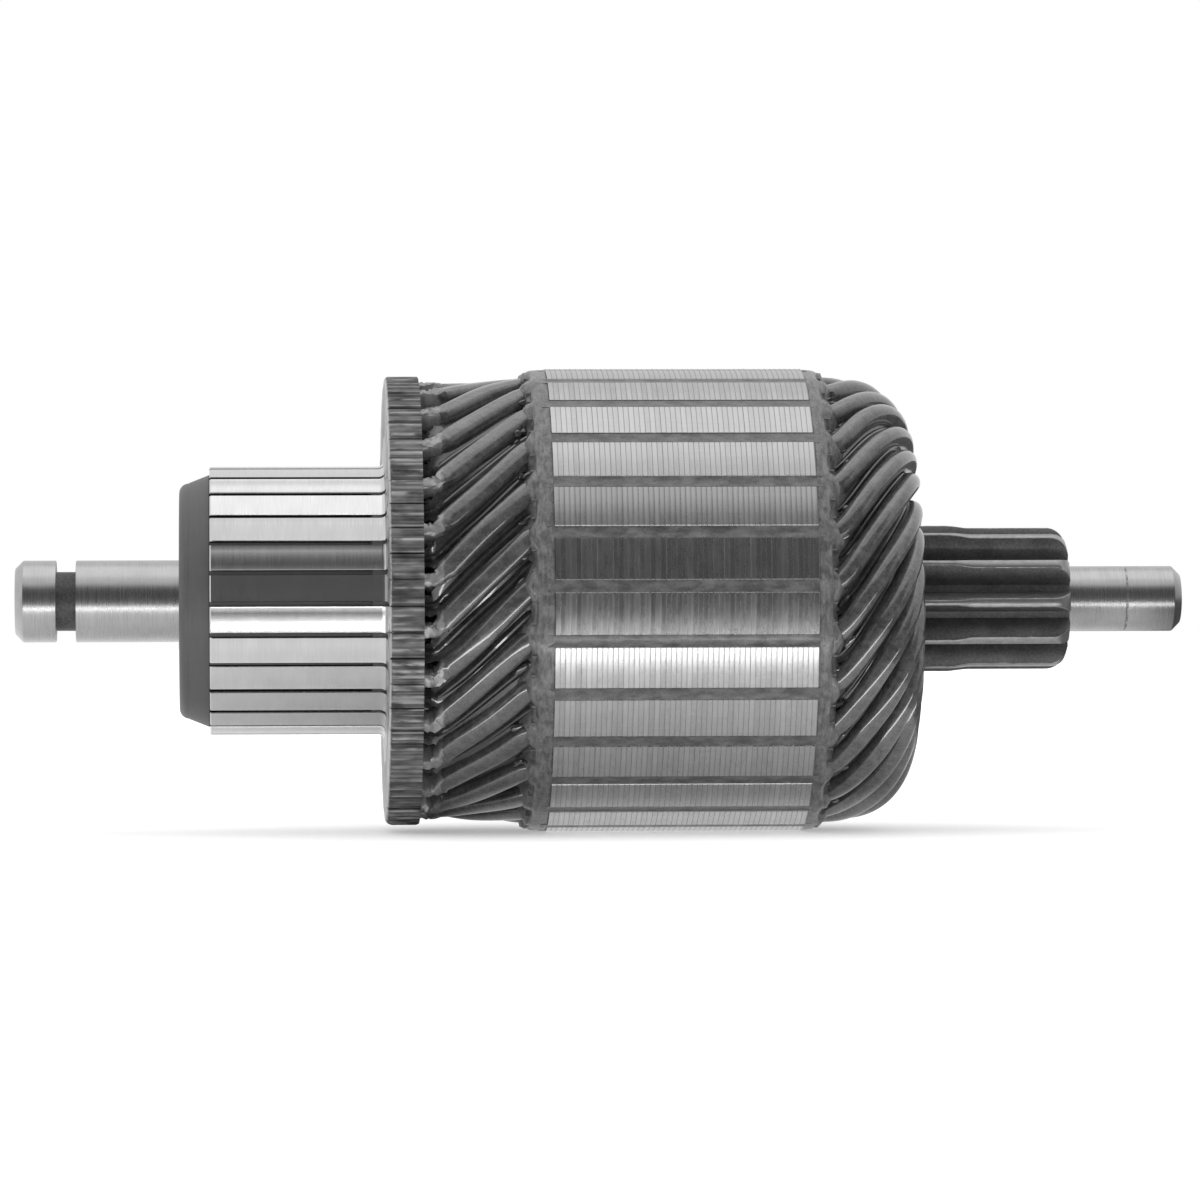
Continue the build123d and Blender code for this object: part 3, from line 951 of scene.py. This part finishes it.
def top_route():
    """Stations of the outer layer, from its riser through the slot to the nose."""
    low = top_layer - riser_drop
    skew = top_lead / (core_start - neck_end - 0.3)
    front = [
        (wire_end, low, top_lead, 0) + neck_form,
        (neck_end, low, top_lead, 0) + neck_form,
        (neck_end + 0.6, low, top_lead - 0.7 * skew, 0) + neck_form,
        (neck_end + 1.2, low, top_lead - 1.3 * skew, 0) + pressed_form,
        (core_start - 0.3, top_layer, 0, 0) + pressed_form,
        (core_start + 1.0, top_layer, 0, 0) + pressed_form,
    ]
    core = [front[-1], (core_end - 1.0, top_layer, 0, 0) + pressed_form]
    rear = [core[-1], (dome_start, top_layer, 0, 0) + rounded_form]
    over = dome(nose_x, top_layer, 0, rounded_form, nose_form, 0)
    return spaced(front, 0.35) + spaced(core, 5) + spaced(rear, 0.5) + over


def nose_route():
    """Stations of the short turn that joins the two layers."""
    inner = nose_radius - 0.3
    outer_end = (nose_x - 0.6, inner, nose_angle, 135, 2.3, 2.9, 2.7)
    inner_end = (inner_nose_x + 0.6, inner, nose_angle, 225, 2.0, 3.2, 2.7)
    return spaced([outer_end, inner_end], 0.5)


def bottom_route():
    """Stations of the inner layer, from the nose through its slot to the other riser."""
    low = bottom_layer - riser_drop
    over = dome(inner_nose_x, bottom_layer, bottom_angle, low_form, low_nose_form, 180)[::-1]
    core = [over[-1], (core_start - 0.8, bottom_layer, bottom_angle, 180) + low_form]
    front = [
        core[-1],
        (riser_end + 1.4, low, bottom_lead, 180) + low_form,
        (riser_end + 0.8, low, bottom_lead, 180) + low_neck_form,
        (wire_end, low, bottom_lead, 180) + low_neck_form,
    ]
    return over[:-1] + spaced(core, 5) + spaced(front, 0.6) + [front[-1]]


def softened(route, rounds):
    """The route with its bends eased, each station moved towards the middle of its neighbours."""
    for _ in range(rounds):
        inner = [
            tuple((a + 2 * b + c) / 4 for a, b, c in zip(before, station, after))
            for before, station, after in zip(route, route[1:], route[2:])
        ]
        route = [route[0]] + inner + [route[-1]]
    return route


route = softened(top_route() + nose_route() + bottom_route(), 4)
print("route", len(route), "stations")

# %% Sections along the route
def facing(angle, lean):
    """The way outwards at this angle, tipped along the shaft by the lean."""
    turn, tip = math.radians(angle), math.radians(lean)
    return Vector((math.sin(tip), math.cos(tip) * math.cos(turn), math.cos(tip) * math.sin(turn)))


def power_of(value, power):
    """A power that keeps the sign."""
    return math.copysign(abs(value) ** power, value)


def freedom(x):
    """How far a wire may wander here: not at all in the core or at its riser, and fully between them."""
    if x > core_end:
        return min(1.0, (x - core_end) / 4)
    share = (x - riser_end - 1) / (core_start - riser_end - 2)
    return math.sin(math.pi * share) if 0 < share < 1 else 0.0


def crushed(x):
    """How much the pliers roughened the bare end of a wire here."""
    share = (x - riser_end + 0.4) / 3.6
    return 0.34 * math.sin(math.pi * share) if 0 < share < 1 else 0.0


def oblong(width, height, square):
    """A rounded oblong, as points across and up from its middle."""
    points = []
    for step in range(20):
        swing = math.radians(18 * step + 9)
        across = power_of(math.cos(swing), 2 / square) * width / 2
        up = power_of(math.sin(swing), 2 / square) * height / 2
        points.append((across, up))
    return points


def swept(route, turn, seed, outline):
    """Sections along a route. Seed gives each coil its own slight wander."""
    centres = []
    for place, station in enumerate(route):
        x, radius, angle = station[:3]
        aside = 0.45 * math.sin(0.07 * place + seed) + 0.2 * math.sin(0.17 * place + 2.7 * seed)
        out = 0.16 * math.sin(0.11 * place + 1.7 * seed) - 0.12
        free = freedom(x)
        centres.append(around(x, radius + free * out, angle + turn + free * aside))
    sections = []
    last = len(route) - 1
    for place, (x, radius, angle, lean, *form) in enumerate(route):
        along = (centres[min(place + 1, last)] - centres[max(place - 1, 0)]).normalized()
        side = facing(angle + turn, lean).cross(along).normalized()
        rise = along.cross(side)
        section = []
        for corner, (across, up) in enumerate(outline(*form)):
            swell = 1 + crushed(x) * unevenness(2.3 * x, 18 * corner + 31 * seed, seed)
            section.append(centres[place] + (side * across + rise * up) * swell * MM)
        sections.append(section)
    return sections


wire = wire_finish("enamelled_wire", 0.025, 0.14, neck_end + 1.2)
for number in range(slot_count):
    coil_skin = Skin()
    coil_skin.run(swept(route, slot_phase + number * pitch, 1.9 * number, oblong))
    node = f"hairpin_coil_{number + 1:02d}"
    coil_piece = coil_skin.piece(f"hairpin_{number + 1:02d}", wire, "enamelled_copper", (node,), sharp=60)
print("coils", slot_count, "of", len(coil_piece.data.polygons), "faces")

# %% [markdown]
# ## Varnish between the wires
# The wound armature was dipped in varnish. Between two wires it set as a web with a hollow top, which hides
# the inner layer and carries the brightest glints. A web follows the same route as the wires, half a pitch to
# the side and a little deeper, so the sweep that made the wires makes it too, with another outline.

# %% Webs
def trough(width, height, depth, crest):
    """A strip with a hollow top and a fine crest along it, as points across and up from its middle."""
    top = []
    for share in (1, 0.8, 0.55, 0.35, 0.2, 0.07, -0.07, -0.2, -0.35, -0.55, -0.8, -1):
        raised = crest * max(0.0, 1 - (share / 0.3) ** 2)
        top.append((width / 2 * share, height / 2 - depth * (1 - share * share) + raised))
    return top + [(-width / 2, -height / 2), (width / 2, -height / 2)]


def sunk(stations, low, dive, form):
    """The same stations with another outline, deeper by low. The first end is narrower and dives further."""
    deeper = []
    for station in stations:
        x, radius, angle, lean = station[:4]
        tip = math.radians(lean)
        depth = low + dive * max(0.0, 1 - (x - stations[0][0]) / 3) ** 2
        width = form[0] * min(1.25, 0.8 + (x - stations[0][0]) / 8)
        place = (x - depth * math.sin(tip), radius - depth * math.cos(tip), angle, lean, width)
        deeper.append(place + form[1:])
    return deeper


whole_top = softened(top_route(), 4)
varnish = wire_finish("set_varnish", 0.012, 0.06)
front_part = [place for place in whole_top if riser_end - 0.2 < place[0] < core_start + 0.3]
rear_part = [place for place in whole_top if place[0] > core_end - 0.3]
front_web = sunk(front_part, 0.75, 0.7, (2.7, 1.2, 0.5, 0.6))
rear_web = sunk(rear_part, 0.85, 0.3, (2.1, 1.2, 0.35, 0.4))
webs = Skin()
for number in range(slot_count):
    turn = slot_phase + (number + 0.5) * pitch
    webs.run(swept(front_web, turn, 1.9 * number + 0.9, trough))
    webs.run(swept(rear_web, turn, 1.9 * number + 0.9, trough))
web_piece = webs.piece("varnish_webs", varnish, "set_resin")
print("webs", len(web_piece.data.polygons), "faces")

# %% [markdown]
# ## The fillet at each disc
# Where the wires enter the core, resin and varnish filled the corner between them and the disc. It is a band
# around the core that climbs from the wires to the rim, with a swelling over each slot.

# %% Fillets
def fillet_ring(x, radius, outward, seed):
    """One ring of the band, lumpy, and swollen over each slot."""
    ring = []
    for step in range(fine_steps):
        angle = step * 360 / fine_steps
        over_slot = math.cos(math.radians((angle - slot_phase) * slot_count))
        lump = 0.3 * unevenness(2 * x, angle, seed) + 0.3 * over_slot - 0.3
        ahead = 0.35 * unevenness(radius, angle, seed + 2) + 0.5 * over_slot
        ring.append(around(x + outward * ahead, radius + lump, angle))
    return ring


climb = [(1.4, 22.6), (-1.5, 24.9), (-1.1, 25.8), (-0.75, 26.6)]
climb += [(-0.4, 27.2), (-0.1, 27.7), (0.3, 28.05), (1.1, 28.0)]
front_band = [fillet_ring(core_start + inward, radius, -1, 3.0) for inward, radius in climb]
rear_band = [fillet_ring(core_end - inward, radius, 1, 4.0) for inward, radius in reversed(climb)]
fillets = Skin()
fillets.run(front_band, capped=False)
fillets.run(rear_band, capped=False)
fillet_piece = fillets.piece("resin_fillets", coat, "set_resin", sharp=80)
print("fillets", len(fillet_piece.data.polygons), "faces")

# %% [markdown]
# ## Varnish drops at the core
# Where wires meet the discs the varnish gathered in lumps. Each one is a small uneven egg that sinks into its
# neighbours. Many of them, seeded so that they come out the same each time, look like one run of varnish.

# %% Drops
def drop_rings(centre, along, size, seed):
    """Rings of an uneven egg, drawn out along one direction."""
    along = along.normalized()
    across = along.orthogonal().normalized()
    other = along.cross(across)
    rings = []
    for row in range(1, 10):
        tilt = math.radians(18 * row)
        ring = []
        for step in range(12):
            turn = math.radians(30 * step)
            swell = 1 + 0.12 * math.sin(3 * turn + seed) + 0.1 * math.sin(2 * tilt + 1.7 * seed)
            out = math.sin(tilt) * size[1] * swell
            spoke = across * math.cos(turn) + other * math.sin(turn)
            ring.append(centre + (along * (-math.cos(tilt) * size[0]) + spoke * out) * MM)
        rings.append(ring)
    return rings


random.seed(11)
drops = Skin()
for number in range(slot_count):
    slot = slot_phase + number * pitch
    for station, outward in ((core_start, -1), (core_end, 1)):
        for drop in range(4):
            x = station + outward * random.uniform(0.3, 2.0)
            angle = slot + random.uniform(-0.45, 0.45) * pitch
            centre = around(x, random.uniform(25.3, 26.6), angle)
            lean = Vector((outward, 0, 0)) + facing(angle + 90, 0) * random.uniform(-1.6, 0.0) * outward
            size = (random.uniform(0.4, 1.1), random.uniform(0.2, 0.42))
            drops.run(drop_rings(centre, lean, size, 5.0 * random.random()))
drop_piece = drops.piece("varnish_drops", varnish, "set_resin")
print("drops", len(drop_piece.data.polygons), "faces")

# %% [markdown]
# ## Floor, light and camera
# The armature lies on a pale floor. A wide lamp hangs above it, and the world is white behind and dim in
# front and a little to the right, as a studio is beside the camera. Turned metal shows that as a dark band
# just above its middle. A long low strip lamp in front gives metal and varnish their bright streak below it.

# %% Floor
def floor_finish():
    """Pale and matt. The camera sees it as white but for the shadow. Metal sees it fade away in front, and
    glow under the core, which is a painted reflection.
    """
    pale = Finish("pale_floor")
    seen = pale.add("ShaderNodeLightPath", {}, {}, "Is Camera Ray")
    glossy = pale.add("ShaderNodeLightPath", {}, {}, "Is Glossy Ray")
    away = (pale.y * pale.y + (pale.x - shaft_end / 2) * (pale.x - shaft_end / 2)) ** 0.5
    # Painted reflection: under the core, where the armature's shadow lies, the floor glows to glossy rays
    # alone.
    painted_glow_below_core = pale.x.between(core_start - 8, core_end + 8, 5) * pale.y.rise(-15, -8)
    mirrored = painted_glow_below_core * 0.5 + pale.y.rise(0, 40) * 0.2
    level = seen * (0.35 + away.rise(100, 400) * 0.3) + glossy * mirrored
    glow = pale.add("ShaderNodeEmission", {}, {"Color": pale.grey(0, 1, level)})
    matt = pale.add("ShaderNodeBsdfDiffuse", {}, {"Color": (0.93, 0.93, 0.93, 1)})
    lit = pale.add("ShaderNodeAddShader", {}, {0: matt, 1: glow})
    room = pale.add("ShaderNodeEmission", {}, {"Color": (1, 1, 1, 1), "Strength": 0.1})
    fade = glossy * (pale.y * -1).rise(85, 150).math("MAXIMUM", pale.x.rise(shaft_end - 8, shaft_end + 15))
    pale.surface(pale.add("ShaderNodeMixShader", {}, {0: fade, 1: lit, 2: room}))
    return pale.material


floor_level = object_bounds()[0][2]
reach = 3.0
edges = ((-reach, -reach), (reach, -reach), (reach, reach), (-reach, reach))
floor_corners = [(x, y, floor_level) for x, y in edges]
floor_mesh = bpy.data.meshes.new("floor")
floor_mesh.from_pydata(floor_corners, [], [(0, 1, 2, 3)])
floor_mesh.materials.append(floor_finish())
floor = bpy.data.objects.new("floor", floor_mesh)
bpy.context.collection.objects.link(floor)
print("floor at", round(floor_level / MM, 2), "mm")

# %% Lamp and world
def lamp(name, place, aim, size, power):
    """An oblong area lamp at a place, turned to what it lights."""
    light = bpy.data.lights.new(name, "AREA")
    light.shape = "RECTANGLE"
    light.size, light.size_y = size
    light.energy = power
    holder = bpy.data.objects.new(name, light)
    holder.location = place
    holder.rotation_euler = (Vector(aim) - Vector(place)).to_track_quat("-Z", "Y").to_euler()
    bpy.context.collection.objects.link(holder)
    return holder


def studio():
    """White behind and above, and dim where the room is: in front, to the right and below 40 degrees."""
    world = bpy.data.worlds.new("studio")
    world.use_nodes = True
    sky = Nodes(world.node_tree)
    way = sky.add("ShaderNodeTexCoord", {}, {}, "Generated")
    aside = sky.add("ShaderNodeSeparateXYZ", {}, {0: way}, "X")
    front = (sky.add("ShaderNodeSeparateXYZ", {}, {0: way}, "Y") * -1).math("MAXIMUM", aside * 0.36)
    height = sky.add("ShaderNodeSeparateXYZ", {}, {0: way}, "Z")
    dim = front.rise(0.2, 0.5) * (1 - height.rise(0.58, 0.8))
    seen = sky.add("ShaderNodeLightPath", {}, {}, "Is Camera Ray")
    glossy = sky.add("ShaderNodeLightPath", {}, {}, "Is Glossy Ray")
    clear = sky.add("ShaderNodeLightPath", {}, {}, "Is Transmission Ray")
    mirrored = glossy * (0.81 - dim * 0.73)
    soft = 0.85 * (1 - glossy)
    level = seen.math("MAXIMUM", mirrored).math("MAXIMUM", clear).math("MAXIMUM", soft)
    white = sky.add("ShaderNodeBackground", {}, {"Color": sky.grey(0, 1, level)})
    sky.surface(white, "ShaderNodeOutputWorld")
    return world


centre = Vector((shaft_end / 2, 0, 0)) * MM
lamp("overhead", (centre.x, 0.05, 0.55), centre, (0.7, 0.45), 0.35)
strip = lamp("low_strip", (centre.x, -0.068, -0.0267), centre, (0.24, 0.008), 0.028)
strip.visible_camera = False
strip.visible_diffuse = False
bpy.context.scene.world = studio()
print("lamps", [light.name for light in bpy.data.lights])

# %% Camera
view_distance = 0.798
view_angle = 10.55
swing = math.radians(3.3)
roll = math.radians(0.16)
camera = bpy.data.cameras.new("camera")
camera.sensor_width = 36
camera.lens = camera.sensor_width / (2 * math.tan(math.radians(view_angle / 2)))
camera.clip_start = 0.01
eye = bpy.data.objects.new("camera", camera)
eye.location = centre + Vector((-math.sin(swing), -math.cos(swing), 0)) * view_distance
level = (centre - eye.location).to_track_quat("-Z", "Y").to_matrix()
eye.rotation_euler = (level @ Euler((0, 0, -roll)).to_matrix()).to_euler()
bpy.context.collection.objects.link(eye)
bpy.context.scene.camera = eye
bpy.context.scene.view_settings.view_transform = "Standard"
print("lens", round(camera.lens, 1), "mm")
